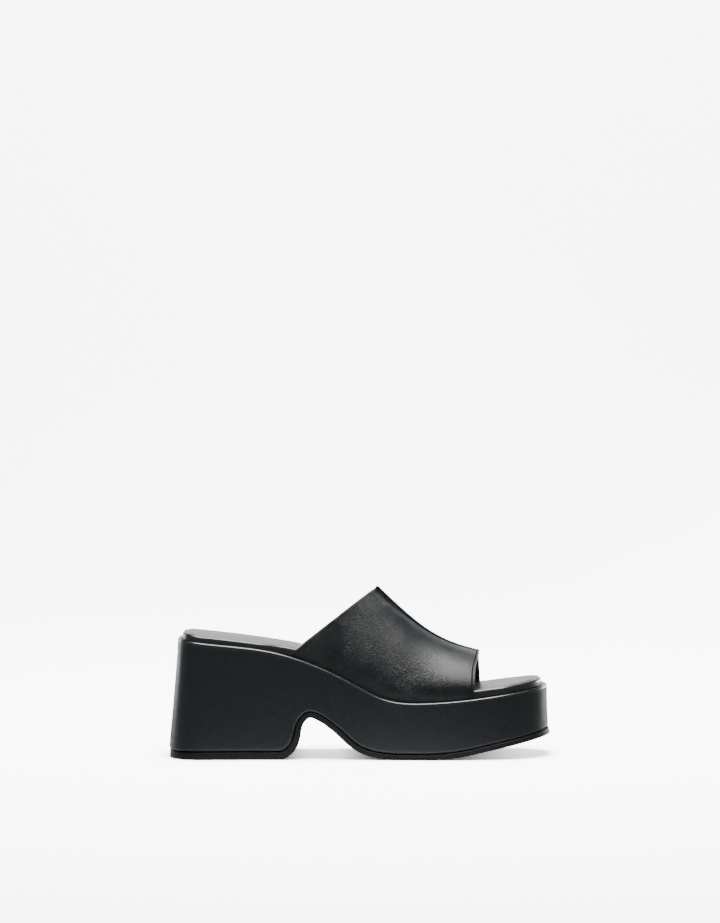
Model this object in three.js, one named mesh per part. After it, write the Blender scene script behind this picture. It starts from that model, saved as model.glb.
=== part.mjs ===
// Platform mule, right shoe, standing empty on its sole.
// Millimetres. +X runs from the heel to the toe, +Y to the inner side of the foot, +Z is up.
// Every surface is a grid: stations run from heel to toe, and rows run round or across the shoe.
// A place "along" is a share of the platform's length at its top edge, 0 at the heel and 1 at the toe.

import * as THREE from 'three';

// Overall sizes, taken at the top edge of the platform.
const platformLength = 247.4;
const ballWidth = 84;
const heelHeight = 79.1;
const ballHeight = 37.6;
const toeHeight = 47.2;

// Outsole and the shape of the underside.
const heelSole = 5.6;
const foreSole = 4.1;
const archHeight = 31.7;
const toeSpring = 14.6;
const soleBevel = 0.8;
const soleEdge = 0.5;
const soleSetIn = 0.6;

// Clearance between two pieces that are glued or sewn together.
const seatGap = 0.3;

// Platform: its flare, its rounded lower edge and the rolled lip round its top.
const heelFlare = 0.092;
const foreFlare = 0.06;
const flareStart = 12;
const flareBlend = { start: 0.1, end: 0.6 };
const lowerRadius = 1.6;
const lipRadius = 1.3;
const lipDepth = 2.4;

// Footbed: how far it stands above the lip, its rounded edge and its crown.
const footbedStand = 4.3;
const footbedRadius = 2;
const footbedCrown = 0.8;
const footbedInset = 3.1;
const footbedToeInset = 3.9;
const footbedRoom = 1.3;
const besideBlend = { near: 0.01, far: 0.07 };

// Upper: its wall, its crest and the raised seam along the crest.
const upperWall = 1.8;
const collarHeight = 111.3;
const vampFrontHeight = 69;
const collarBow = { outer: 2, inner: -0.3, lean: 1.7 };
const toeSway = 1.1;
const footBulge = 1.2;
const bulgeHeight = 11;
const bulgePower = 3;
const seamHeight = 2.7;
const seamFrontHeight = 0.7;
const seamHalfWidth = 1.3;
const seamFoot = 0.5;
const seamFade = 1.6;
const vampRoundness = 2.2;

// Plan of the platform's top edge: a middle line and a half width, as shares of the ball width.
const plan = [
  { along: 0.0, middle: -0.06, half: 0.395 },
  { along: 0.1, middle: -0.008, half: 0.418 },
  { along: 0.25, middle: -0.004, half: 0.417 },
  { along: 0.37, middle: -0.01, half: 0.42 },
  { along: 0.5, middle: -0.014, half: 0.452 },
  { along: 0.62, middle: -0.013, half: 0.487 },
  { along: 0.72, middle: -0.008, half: 0.5 },
  { along: 0.82, middle: 0.004, half: 0.484 },
  { along: 0.91, middle: 0.025, half: 0.455 },
  { along: 1.0, middle: 0.08, half: 0.42 },
];

// How much of the length each end is rounded over, and how square that rounding is.
const heelRounding = { share: 0.085, power: 3 };
const toeRounding = { share: 0.165, power: 2.8 };

// Side view of the top edge: shares of the drop from heel to ball and of the rise to the toe,
// and how far the footbed stands above it, as a share of its stand at the heel.
const topEdge = [
  { along: 0.0, heel: 1.0, toe: 0.0, stand: 0.96 },
  { along: 0.13, heel: 0.912, toe: 0.0, stand: 1.0 },
  { along: 0.26, heel: 0.807, toe: 0.0, stand: 1.06 },
  { along: 0.32, heel: 0.708, toe: 0.0, stand: 1.42 },
  { along: 0.42, heel: 0.47, toe: 0.0, stand: 1.5 },
  { along: 0.5, heel: 0.221, toe: 0.0, stand: 1.45 },
  { along: 0.55, heel: 0.08, toe: 0.0, stand: 1.38 },
  { along: 0.6, heel: 0.012, toe: 0.0, stand: 1.32 },
  { along: 0.66, heel: 0.0, toe: 0.01, stand: 1.28 },
  { along: 0.78, heel: 0.0, toe: 0.224, stand: 1.24 },
  { along: 0.9, heel: 0.0, toe: 0.625, stand: 1.16 },
  { along: 1.0, heel: 0.0, toe: 1.0, stand: 0.98 },
];

// Arch between the heel and the forefoot: shares of the arch's height, up the breast and down again.
const arch = [
  { along: 0.277, rise: 0.0 },
  { along: 0.292, rise: 0.065 },
  { along: 0.303, rise: 0.172 },
  { along: 0.313, rise: 0.383 },
  { along: 0.319, rise: 0.621 },
  { along: 0.329, rise: 0.82 },
  { along: 0.356, rise: 1.0 },
  { along: 0.38, rise: 0.953 },
  { along: 0.412, rise: 0.783 },
  { along: 0.445, rise: 0.543 },
  { along: 0.477, rise: 0.286 },
  { along: 0.509, rise: 0.12 },
  { along: 0.546, rise: 0.04 },
  { along: 0.596, rise: 0.0 },
];
const archTop = 0.356;

// Share of the arch's stations over which the outsole thins from heel to forefoot.
const soleTaper = 0.3;

// Toe spring: where the underside begins to roll up, and over what share it rolls to a straight ramp.
const rollStart = 0.662;
const rollShare = 0.137;

// Upper: where its two feet and its crest stand along the platform, at the collar and at the toe.
const vamp = {
  outerFoot: { collar: 0.292, toe: 0.786 },
  innerFoot: { collar: 0.305, toe: 0.825 },
  crest: { collar: 0.532, toe: 0.816 },
};
const crestOffset = 0.035;

// Crest of the upper in side view: shares of its fall from the collar to the toe edge.
const crestLine = [
  { along: 0.0, fall: 1.0 },
  { along: 0.236, fall: 0.655 },
  { along: 0.477, fall: 0.347 },
  { along: 0.716, fall: 0.141 },
  { along: 1.0, fall: 0.0 },
];

// Grid counts, and the places of the first stations and of the rows up the platform's side.
const heelStations = 9;
const archStations = 24;
const flatStations = 3;
const toeStations = 15;
const footbedStations = 36;
const across = 4;
const vampStations = 16;
const vampColumns = 11;
const blockEnd = 0.0012;
const footbedEnd = 0.002;
const wallRows = [0.35, 0.7];
const fanSpread = 1.5;
const crestBandWidth = 5;
const columnSpread = 1.25;

const heelX = -platformLength / 2;

const lerp = THREE.MathUtils.lerp;

// Smooth curve through a table's column: a cubic spline with straight or level ends.
function curve(at, values, levelEnds = false) {
  const last = at.length - 1;
  const step = [];
  const rate = [];
  for (let i = 0; i < last; i += 1) {
    step.push(at[i + 1] - at[i]);
    rate.push((values[i + 1] - values[i]) / step[i]);
  }
  const lower = new Array(last + 1).fill(0);
  const middle = new Array(last + 1).fill(1);
  const upper = new Array(last + 1).fill(0);
  const right = new Array(last + 1).fill(0);
  if (!levelEnds) {
    middle[0] = 2;
    upper[0] = 1;
    right[0] = 3 * rate[0];
    middle[last] = 2;
    lower[last] = 1;
    right[last] = 3 * rate[last - 1];
  }
  for (let i = 1; i < last; i += 1) {
    lower[i] = 1 / step[i - 1];
    upper[i] = 1 / step[i];
    middle[i] = 2 * (lower[i] + upper[i]);
    right[i] = 3 * (rate[i - 1] / step[i - 1] + rate[i] / step[i]);
  }
  for (let i = 1; i <= last; i += 1) {
    const share = lower[i] / middle[i - 1];
    middle[i] -= share * upper[i - 1];
    right[i] -= share * right[i - 1];
  }
  const slope = new Array(last + 1).fill(0);
  slope[last] = right[last] / middle[last];
  for (let i = last - 1; i >= 0; i -= 1) {
    slope[i] = (right[i] - upper[i] * slope[i + 1]) / middle[i];
  }
  return (where) => {
    const place = Math.min(Math.max(where, at[0]), at[last]);
    let i = 0;
    while (i < last - 1 && place > at[i + 1]) {
      i += 1;
    }
    const t = (place - at[i]) / step[i];
    const keep = (1 - t) * (1 - t);
    const take = t * t;
    return keep * (1 + 2 * t) * values[i] + take * (3 - 2 * t) * values[i + 1]
      + step[i] * (keep * t * slope[i] - take * (1 - t) * slope[i + 1]);
  };
}

function column(rows, name) {
  return curve(rows.map((row) => row.along), rows.map((row) => row[name]));
}

const middleShare = column(plan, 'middle');
const halfShare = column(plan, 'half');
const heelShare = column(topEdge, 'heel');
const toeShare = column(topEdge, 'toe');
const standShare = column(topEdge, 'stand');
const crestFall = column(crestLine, 'fall');

const alongOf = (x) => (x - heelX) / platformLength;

// Height of the lip round the top, of the deck inside it and of the footbed.
const lipTop = (along) => ballHeight + (heelHeight - ballHeight) * heelShare(along)
  + (toeHeight - ballHeight) * toeShare(along);
const deckTop = (along) => lipTop(along) - lipDepth;
const footbedTop = (along) => lipTop(along) + footbedStand * standShare(along);

// Rounding of an end: a superellipse quarter that fades into the full width.
function endRound(distance, rounding) {
  const t = Math.min(distance / rounding.share, 1);
  return (1 - (1 - t) ** rounding.power) ** (1 / rounding.power);
}

// Point of the platform's top outline. The turn runs from the heel at 0 along the outer side to the
// toe at half a turn and back along the inner side.
function outlinePoint(turn) {
  const along = (1 - Math.cos(turn)) / 2;
  const half = halfShare(along) * endRound(along, heelRounding) * endRound(1 - along, toeRounding);
  const side = Math.sin(turn) < 0 ? 1 : -1;
  return new THREE.Vector2(
    heelX + platformLength * along,
    ballWidth * (middleShare(along) + side * half),
  );
}

// The same point moved outwards, square to the outline.
function outline(turn, outwards) {
  const step = 0.002;
  const point = outlinePoint(turn);
  const tangent = outlinePoint(turn + step).sub(outlinePoint(turn - step)).normalize();
  return point.add(new THREE.Vector2(tangent.y, -tangent.x).multiplyScalar(outwards));
}

const turnAt = (along) => Math.acos(1 - 2 * Math.min(Math.max(along, 0), 1));

// How far the platform's side stands out at a height: it leaves the lip upright, then flares.
function flare(along, height) {
  const down = Math.max(lipTop(along) - height, 0);
  const forward = THREE.MathUtils.smoothstep(along, flareBlend.start, flareBlend.end);
  const slope = lerp(heelFlare, foreFlare, forward);
  return slope * down * down / (down + flareStart);
}

// Underside of the platform in side view, as stations with a place and an outward direction.
function undersideStations() {
  const stations = [];
  const heelEnd = turnAt(arch[0].along);
  for (let i = 0; i < heelStations; i += 1) {
    const turn = lerp(turnAt(blockEnd), heelEnd, i / heelStations);
    stations.push({ along: (1 - Math.cos(turn)) / 2, height: heelSole, out: new THREE.Vector2(0, -1) });
  }

  const places = arch.map((row) => heelX + platformLength * row.along);
  const heights = arch.map((row) => {
    const base = row.along < archTop ? heelSole : foreSole;
    return base + (archHeight - base) * row.rise;
  });
  const lengths = [0];
  for (let i = 1; i < arch.length; i += 1) {
    lengths.push(lengths[i - 1] + Math.hypot(places[i] - places[i - 1], heights[i] - heights[i - 1]));
  }
  const placeCurve = curve(lengths, places);
  const heightCurve = curve(lengths, heights, true);
  const total = lengths[lengths.length - 1];
  for (let i = 0; i <= archStations; i += 1) {
    const run = total * i / archStations;
    const step = total * 0.002;
    const ahead = Math.min(run + step, total);
    const behind = Math.max(run - step, 0);
    const tangent = new THREE.Vector2(
      placeCurve(ahead) - placeCurve(behind),
      heightCurve(ahead) - heightCurve(behind),
    ).normalize();
    const level = i === 0 || i === archStations;
    stations.push({
      along: alongOf(placeCurve(run)),
      height: heightCurve(run),
      out: level ? new THREE.Vector2(0, -1) : new THREE.Vector2(tangent.y, -tangent.x),
    });
  }

  const flatStart = arch[arch.length - 1].along;
  for (let i = 1; i < flatStations; i += 1) {
    const along = lerp(flatStart, rollStart, i / flatStations);
    stations.push({ along, height: foreSole, out: new THREE.Vector2(0, -1) });
  }

  const ramp = toeSpring / (1 - rollStart - rollShare / 2);
  for (let i = 0; i < toeStations; i += 1) {
    const turn = lerp(turnAt(rollStart), turnAt(1 - blockEnd), i / (toeStations - 1));
    const along = (1 - Math.cos(turn)) / 2;
    const past = along - rollStart;
    const rolled = Math.min(past, rollShare);
    const lift = ramp * (rolled * rolled / (2 * rollShare) + past - rolled);
    const slope = ramp * rolled / rollShare / platformLength;
    stations.push({
      along,
      height: foreSole + lift,
      out: new THREE.Vector2(slope, -1).normalize(),
    });
  }
  return stations;
}

// Ring of points round the shoe: the outer side, the toe end, the inner side and the heel end.
// place(turn, station) gives each point, and the end points fan over the first and last stations.
function ring(alongs, place) {
  const points = [];
  const last = alongs.length - 1;
  const fan = (index, share) => {
    const side = 1 - 2 * share;
    const reach = turnAt(index === 0 ? alongs[0] : 1 - alongs[last]);
    const turn = reach * Math.sign(side) * Math.abs(side) ** fanSpread;
    return index === 0 ? turn : Math.PI - turn;
  };
  for (let i = 0; i <= last; i += 1) {
    points.push(place(turnAt(alongs[i]), i));
  }
  for (let k = 1; k < across; k += 1) {
    points.push(place(fan(last, k / across), last));
  }
  for (let i = last; i >= 0; i -= 1) {
    points.push(place(-turnAt(alongs[i]), i));
  }
  for (let k = across - 1; k > 0; k -= 1) {
    points.push(place(fan(0, k / across), 0));
  }
  return points;
}

// Closed solid from rings listed from below to above, with ladder caps over both ends.
// crown(share across, share along) lifts the inside of the top cap.
function ringSolid(rings, stations, crown) {
  const positions = rings.flat();
  const indices = [];
  const count = rings[0].length;
  const ringStart = (r) => r * count;
  for (let r = 0; r < rings.length - 1; r += 1) {
    for (let i = 0; i < count; i += 1) {
      const next = (i + 1) % count;
      const a = ringStart(r) + i;
      const b = ringStart(r) + next;
      const c = ringStart(r + 1) + next;
      const d = ringStart(r + 1) + i;
      indices.push(a, b, c, a, c, d);
    }
  }
  const cap = (r, facingUp) => {
    const last = stations - 1;
    const edge = (i, k) => {
      if (k === 0) return ringStart(r) + i;
      if (k === across) return ringStart(r) + stations + across - 1 + (last - i);
      if (i === last) return ringStart(r) + stations + k - 1;
      return ringStart(r) + 2 * stations + (across - 1) + (across - 1 - k);
    };
    const inside = new Map();
    for (let i = 1; i < last; i += 1) {
      for (let k = 1; k < across; k += 1) {
        const share = k / across;
        const run = i / last;
        const point = positions[edge(i, 0)].clone().lerp(positions[edge(i, across)], share);
        [[0, 1 - run], [last, run]].forEach(([end, weight]) => {
          const chord = positions[edge(end, 0)].clone().lerp(positions[edge(end, across)], share);
          point.addScaledVector(positions[edge(end, k)].clone().sub(chord), weight);
        });
        point.z += facingUp && crown ? crown(share, run) : 0;
        inside.set(i * across + k, positions.length);
        positions.push(point);
      }
    }
    const vertex = (i, k) => {
      const onEdge = i === 0 || i === last || k === 0 || k === across;
      return onEdge ? edge(i, k) : inside.get(i * across + k);
    };
    for (let i = 0; i < last; i += 1) {
      for (let k = 0; k < across; k += 1) {
        const a = vertex(i, k);
        const b = vertex(i + 1, k);
        const c = vertex(i + 1, k + 1);
        const d = vertex(i, k + 1);
        if (facingUp) {
          indices.push(a, b, c, a, c, d);
        } else {
          indices.push(a, c, b, a, d, c);
        }
      }
    }
  };
  cap(0, false);
  cap(rings.length - 1, true);
  return geometryOf(positions, indices);
}

function geometryOf(positions, indices) {
  const geometry = new THREE.BufferGeometry();
  geometry.setFromPoints(positions);
  geometry.setIndex(indices);
  geometry.computeVertexNormals();
  return geometry;
}

const underside = undersideStations();
const undersideAlongs = underside.map((station) => station.along);

// Outsole: one moulded sheet that follows the underside of heel, arch and forefoot.
function outsole() {
  const thickness = (i) => {
    const past = (i - heelStations) / (archStations * soleTaper);
    return lerp(heelSole, foreSole, THREE.MathUtils.smoothstep(past, 0, 1));
  };
  const rows = [
    { depth: (i) => thickness(i), inwards: soleEdge },
    { depth: (i) => thickness(i) - soleEdge, inwards: 0 },
    { depth: () => seatGap + soleBevel, inwards: 0 },
    { depth: () => seatGap, inwards: soleBevel },
  ];
  const rings = rows.map((row) => ring(undersideAlongs, (turn, i) => {
    const station = underside[i];
    const depth = row.depth(i);
    const setIn = lerp(soleSetIn, 0, undersideAlongs[i]);
    const point = outline(turn, flare(station.along, station.height) - setIn - row.inwards);
    return new THREE.Vector3(
      point.x + station.out.x * depth,
      point.y,
      station.height + station.out.y * depth,
    );
  }));
  return ringSolid(rings, underside.length);
}

// Platform and heel: one leather-covered block with a rolled lip round its top.
function platform() {
  const rings = [];
  const lowerTurns = [0, Math.PI / 4, Math.PI / 2];
  lowerTurns.forEach((angle) => {
    const up = lowerRadius * (1 - Math.cos(angle));
    const inwards = lowerRadius * (1 - Math.sin(angle));
    rings.push(ring(undersideAlongs, (turn, i) => {
      const station = underside[i];
      const height = station.height - station.out.y * up;
      const point = outline(turn, flare(station.along, height) - inwards);
      return new THREE.Vector3(point.x - station.out.x * up, point.y, height);
    }));
  });
  wallRows.forEach((share) => {
    rings.push(ring(undersideAlongs, (turn, i) => {
      const station = underside[i];
      const foot = station.height - station.out.y * lowerRadius;
      const height = lerp(foot, lipTop(station.along) - lipRadius, share);
      const point = outline(turn, flare(station.along, height));
      return new THREE.Vector3(point.x - station.out.x * lowerRadius * (1 - share), point.y, height);
    }));
  });
  [0, 45, 90, 135, 180].forEach((degrees) => {
    const angle = THREE.MathUtils.degToRad(degrees);
    rings.push(ring(undersideAlongs, (turn, i) => {
      const along = underside[i].along;
      const point = outline(turn, -lipRadius * (1 - Math.cos(angle)));
      return new THREE.Vector3(point.x, point.y, lipTop(along) - lipRadius * (1 - Math.sin(angle)));
    }));
  });
  rings.push(ring(undersideAlongs, (turn, i) => {
    const point = outline(turn, -2 * lipRadius);
    return new THREE.Vector3(point.x, point.y, deckTop(underside[i].along));
  }));
  return ringSolid(rings, underside.length);
}

// The footbed stands back from the lip, and further back where the upper passes between the two.
function footbedBack(along) {
  const { near, far } = besideBlend;
  const collar = vamp.outerFoot.collar;
  const toe = vamp.innerFoot.toe;
  const begun = THREE.MathUtils.smoothstep(along, collar - far, collar - near);
  const under = begun * (1 - THREE.MathUtils.smoothstep(along, toe + near, toe + far));
  const beside = 2 * lipRadius + seatGap + upperWall + footbedRoom;
  const free = lerp(footbedInset, footbedToeInset, along);
  return lerp(free, beside, under);
}

// Footbed: a padded, covered insole with a rounded edge and a slight crown.
function footbed() {
  const alongs = [];
  for (let i = 0; i < footbedStations; i += 1) {
    const turn = lerp(turnAt(footbedEnd), turnAt(1 - footbedEnd), i / (footbedStations - 1));
    alongs.push((1 - Math.cos(turn)) / 2);
  }
  const corner = footbedRadius * (1 - Math.SQRT1_2);
  const rows = [
    { height: (along) => deckTop(along) + seatGap, inwards: 0 },
    { height: (along) => footbedTop(along) - footbedRadius, inwards: 0 },
    { height: (along) => footbedTop(along) - corner, inwards: corner },
    { height: (along) => footbedTop(along), inwards: footbedRadius },
  ];
  const rings = rows.map((row) => ring(alongs, (turn, i) => {
    const point = outline(turn, -footbedBack(alongs[i]) - row.inwards);
    return new THREE.Vector3(point.x, point.y, row.height(alongs[i]));
  }));
  const crown = (share, run) => footbedCrown * Math.sin(Math.PI * share) * Math.sqrt(Math.sin(Math.PI * run));
  return ringSolid(rings, footbedStations, crown);
}

// Outer face of the upper. run goes from the collar to the toe edge, and girth from the outer foot
// at -1 over the crest at 0 to the inner foot at 1. The collar is bowed, the toe edge sways on the
// outer side, and the leather bulges a little over the foot, where it is drawn in under the footbed.
function vampPoint(run, girth) {
  const foot = girth < 0 ? vamp.outerFoot : vamp.innerFoot;
  const footAlong = lerp(foot.collar, foot.toe, run);
  const footTurn = girth < 0 ? turnAt(footAlong) : -turnAt(footAlong);
  const footPlan = outline(footTurn, -2 * lipRadius - seatGap);
  const footHeight = deckTop(footAlong) + seatGap;
  const crestAlong = lerp(vamp.crest.collar, vamp.crest.toe, run);
  const crestX = heelX + platformLength * crestAlong;
  const crestY = ballWidth * (middleShare(crestAlong) + crestOffset);
  const crestHeight = lerp(vampFrontHeight, collarHeight, crestFall(run));
  const angle = (1 - Math.abs(girth)) * Math.PI / 2;
  const out = Math.cos(angle) ** (2 / vampRoundness);
  const up = Math.sin(angle) ** (2 / vampRoundness);
  const isOuter = girth < 0;
  const bowed = isOuter
    ? collarBow.outer * Math.sin(Math.PI * up ** collarBow.lean)
    : collarBow.inner * Math.sin(Math.PI * up);
  const bow = (1 - run) * bowed;
  const sway = isOuter ? toeSway * run * run * Math.sin(2 * Math.PI * up) : 0;
  const climbed = up * (crestHeight - footHeight) / bulgeHeight;
  const bulge = footBulge * (climbed * Math.exp(1 - climbed)) ** bulgePower * out;
  return new THREE.Vector3(
    lerp(footPlan.x, crestX, up) + sway,
    lerp(crestY, footPlan.y, out) + (isOuter ? -bulge : bulge),
    lerp(footHeight, crestHeight, up) + bow,
  );
}

function vampNormal(run, girth) {
  const step = 0.004;
  const inRun = (value) => Math.min(Math.max(value, 0), 1);
  const inGirth = (value) => Math.min(Math.max(value, -1), 1);
  const alongRun = vampPoint(inRun(run + step), girth).sub(vampPoint(inRun(run - step), girth));
  const alongGirth = vampPoint(run, inGirth(girth + step)).sub(vampPoint(run, inGirth(girth - step)));
  return alongRun.cross(alongGirth).normalize();
}

// Girth of the point that lies a given distance from the crest, measured in plan.
function girthBeside(distance) {
  const share = (distance / (ballWidth / 2)) ** (vampRoundness / 2);
  return 1 - 2 * Math.acos(share) / Math.PI;
}

// Upper: one hollow wall, open at the collar, at the toe and underneath, with a raised seam.
function upper() {
  const half = [];
  for (let j = 0; j < vampColumns; j += 1) {
    const share = (j / (vampColumns - 1)) ** columnSpread;
    half.push({ girth: lerp(1, girthBeside(crestBandWidth), share), raised: false });
  }
  half.push({ girth: girthBeside(seamHalfWidth + seamFoot), raised: false });
  half.push({ girth: girthBeside(seamHalfWidth), raised: true });
  const columns = [
    ...half.map((place) => ({ girth: -place.girth, raised: place.raised })),
    ...half.slice().reverse(),
  ];
  const positions = [];
  const faces = [[], []];
  [0, 1].forEach((layer) => {
    for (let i = 0; i <= vampStations; i += 1) {
      const run = i / vampStations;
      faces[layer].push(columns.map((place) => {
        const point = vampPoint(run, place.girth);
        const normal = vampNormal(run, place.girth);
        const seam = lerp(seamFrontHeight, seamHeight, (1 - run) ** seamFade);
        const out = layer === 0 ? seam * place.raised : -upperWall;
        positions.push(point.addScaledVector(normal, out));
        return positions.length - 1;
      }));
    }
  });
  const [outer, inner] = faces;
  const indices = [];
  const quad = (a, b, c, d) => indices.push(a, b, c, a, c, d);
  const lastColumn = columns.length - 1;
  for (let i = 0; i < vampStations; i += 1) {
    for (let j = 0; j < lastColumn; j += 1) {
      quad(outer[i][j], outer[i + 1][j], outer[i + 1][j + 1], outer[i][j + 1]);
      quad(inner[i][j], inner[i][j + 1], inner[i + 1][j + 1], inner[i + 1][j]);
    }
    quad(outer[i + 1][0], outer[i][0], inner[i][0], inner[i + 1][0]);
    quad(outer[i][lastColumn], outer[i + 1][lastColumn], inner[i + 1][lastColumn], inner[i][lastColumn]);
  }
  for (let j = 0; j < lastColumn; j += 1) {
    quad(outer[0][j], outer[0][j + 1], inner[0][j + 1], inner[0][j]);
    const [outerToe, innerToe] = [outer[vampStations], inner[vampStations]];
    quad(outerToe[j + 1], outerToe[j], innerToe[j], innerToe[j + 1]);
  }
  return geometryOf(positions, indices);
}

const shoe = new THREE.Group();

function addPiece(name, geometry, color, roughness) {
  const material = new THREE.MeshStandardMaterial({ color, roughness, metalness: 0 });
  const mesh = new THREE.Mesh(geometry, material);
  mesh.name = name;
  shoe.add(mesh);
}

addPiece('outsole', outsole(), 0x1d1d1e, 0.7);
addPiece('platform', platform(), 0x17181a, 0.5);
addPiece('footbed', footbed(), 0x201f1f, 0.45);
addPiece('upper', upper(), 0x18191b, 0.42);

// Stand the shoe on the floor, with the middle of its box over the origin.
const box = new THREE.Box3().setFromObject(shoe);
const centre = box.getCenter(new THREE.Vector3());
shoe.position.set(-centre.x, -centre.y, -box.min.z);

export default shoe;
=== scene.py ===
# Platform mule, the right shoe, seen from its outer side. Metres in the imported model's frame:
# +X runs from the heel to the toe, +Y to the inner side of the foot, and the shoe stands on z = 0.

import math

import bmesh
import bpy
import numpy as np
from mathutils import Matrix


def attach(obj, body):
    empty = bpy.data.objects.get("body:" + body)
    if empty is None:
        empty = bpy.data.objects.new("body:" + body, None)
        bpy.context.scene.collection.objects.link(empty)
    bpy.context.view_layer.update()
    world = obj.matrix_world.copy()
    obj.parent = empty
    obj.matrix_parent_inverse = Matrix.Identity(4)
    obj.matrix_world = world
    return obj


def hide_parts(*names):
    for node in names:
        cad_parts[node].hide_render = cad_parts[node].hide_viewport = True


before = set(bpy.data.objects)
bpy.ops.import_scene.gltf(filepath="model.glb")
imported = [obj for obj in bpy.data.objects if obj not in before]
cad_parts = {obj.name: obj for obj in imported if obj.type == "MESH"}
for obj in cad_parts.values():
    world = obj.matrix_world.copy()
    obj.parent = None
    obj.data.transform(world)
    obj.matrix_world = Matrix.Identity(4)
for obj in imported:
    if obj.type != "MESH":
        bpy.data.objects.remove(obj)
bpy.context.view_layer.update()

mm = 0.001

# Floor and backdrop: one pale sweep of paper, level under the shoe and curved up behind it. Where the
# camera sees it, it is overexposed and carries a painted glow on camera rays, with a painted contact shadow
# where the shoe touches it. For the leather to reflect it is white near the shoe and behind it and falls to
# grey in front, a painted shade in place of a black flag.

sweep_width = 4.6
sweep_front = -3.6
sweep_back = 1.5
sweep_radius = 0.9
sweep_top = 1.05
floor_gap = 0.03 * mm
paper_colour = (0.88, 0.89, 0.9, 1.0)
paper_seen = (3.5, 3.47, 3.66, 1.0)
# Painted shade: in reflections the paper turns grey in front of the shoe, in place of a black flag.
painted_flag_shade = (0.1, 0.1, 0.1, 1.0)
painted_shade_from = (0.05, 0.21)
back_from = (0.55, 0.95)
# Painted glow on camera rays only, darkened near the shoe by ambient occlusion as a painted contact shadow.
painted_glow_strength = 1.55
painted_contact_shade_reach = 0.011


def new_material(name, colour, roughness):
    """A Principled material with its plain colour and roughness set on the shader itself."""
    material = bpy.data.materials.new(name)
    material.use_nodes = True
    shader = material.node_tree.nodes["Principled BSDF"]
    shader.inputs["Base Color"].default_value = colour
    shader.inputs["Roughness"].default_value = roughness
    return material, shader


def new_object(name, points, faces, materials):
    """An object at the origin from points (n, 3) and faces, smooth shaded."""
    mesh = bpy.data.meshes.new(name)
    mesh.from_pydata(points.tolist(), [], faces.tolist())
    mesh.update()
    mesh.polygons.foreach_set("use_smooth", np.ones(len(mesh.polygons), bool))
    for material in materials:
        mesh.materials.append(material)
    piece = bpy.data.objects.new(name, mesh)
    bpy.context.scene.collection.objects.link(piece)
    return piece


def grid_faces(rows, columns):
    """Quads of a grid whose point (i, j) has the number i * columns + j."""
    corner = np.arange(rows - 1)[:, None] * columns + np.arange(columns - 1)[None, :]
    return np.stack([corner, corner + 1, corner + columns + 1, corner + columns], -1).reshape(-1, 4)


turn = np.linspace(0, math.pi / 2, 24)
sweep_end = sweep_back + sweep_radius
sweep_y = np.concatenate([[sweep_front], sweep_back + sweep_radius * np.sin(turn), [sweep_end]])
sweep_z = np.concatenate([[0], sweep_radius * (1 - np.cos(turn)), [sweep_top]]) - floor_gap
sweep_x = np.linspace(-sweep_width / 2, sweep_width / 2, 3)
sweep_points = np.stack(np.broadcast_arrays(sweep_x[:, None], sweep_y[None, :], sweep_z[None, :]), -1)

paper = bpy.data.materials.new("paper")
paper.use_nodes = True
nodes, links = paper.node_tree.nodes, paper.node_tree.links
nodes.remove(nodes["Principled BSDF"])
ray = nodes.new("ShaderNodeLightPath")
tint = nodes.new("ShaderNodeMix")
tint.data_type = "RGBA"
tint.clamp_result = False
tint.inputs["B"].default_value = paper_seen
where = nodes.new("ShaderNodeTexCoord").outputs["Object"]
split = nodes.new("ShaderNodeSeparateXYZ")
links.new(where, split.inputs["Vector"])
reach = nodes.new("ShaderNodeVectorMath")
reach.operation = "LENGTH"
links.new(where, reach.inputs[0])
fade = nodes.new("ShaderNodeMath")
fade.operation = "MAXIMUM"
for number, (source, limits, ends) in enumerate((
        (reach.outputs["Value"], painted_shade_from, (1, 0)), (split.outputs["Y"], back_from, (0, 1)))):
    step = nodes.new("ShaderNodeMapRange")
    step.interpolation_type = "SMOOTHSTEP"
    step.inputs["From Min"].default_value, step.inputs["From Max"].default_value = limits
    step.inputs["To Min"].default_value, step.inputs["To Max"].default_value = ends
    links.new(source, step.inputs["Value"])
    links.new(step.outputs["Result"], fade.inputs[number])
# Painted shade for reflections: grey in front of the shoe, the paper's white near it and behind it.
painted_shade_mix = nodes.new("ShaderNodeMix")
painted_shade_mix.data_type = "RGBA"
painted_shade_mix.inputs["A"].default_value = painted_flag_shade
painted_shade_mix.inputs["B"].default_value = paper_colour
links.new(fade.outputs["Value"], painted_shade_mix.inputs["Factor"])
links.new(painted_shade_mix.outputs["Result"], tint.inputs["A"])
matt = nodes.new("ShaderNodeBsdfDiffuse")
links.new(ray.outputs["Is Camera Ray"], tint.inputs["Factor"])
links.new(tint.outputs["Result"], matt.inputs["Color"])
# Painted glow for camera rays, times ambient occlusion within reach of the shoe: a painted contact shadow on
# the floor.
lift = nodes.new("ShaderNodeMath")
lift.operation = "MULTIPLY"
links.new(ray.outputs["Is Camera Ray"], lift.inputs[0])
painted_contact_shade = nodes.new("ShaderNodeAmbientOcclusion")
painted_contact_shade.inputs["Distance"].default_value = painted_contact_shade_reach
glow_with_painted_shade = nodes.new("ShaderNodeMath")
glow_with_painted_shade.operation = "MULTIPLY"
glow_with_painted_shade.inputs[1].default_value = painted_glow_strength
links.new(painted_contact_shade.outputs["AO"], glow_with_painted_shade.inputs[0])
links.new(glow_with_painted_shade.outputs["Value"], lift.inputs[1])
glow = nodes.new("ShaderNodeEmission")
links.new(lift.outputs["Value"], glow.inputs["Strength"])
both = nodes.new("ShaderNodeAddShader")
links.new(matt.outputs["BSDF"], both.inputs[0])
links.new(glow.outputs["Emission"], both.inputs[1])
links.new(both.outputs["Shader"], nodes["Material Output"].inputs["Surface"])
floor = new_object("floor", sweep_points.reshape(-1, 3), grid_faces(3, len(sweep_y)), [paper])

# Camera: square to the shoe's outer side and a little above it, with a long lens.

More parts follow.
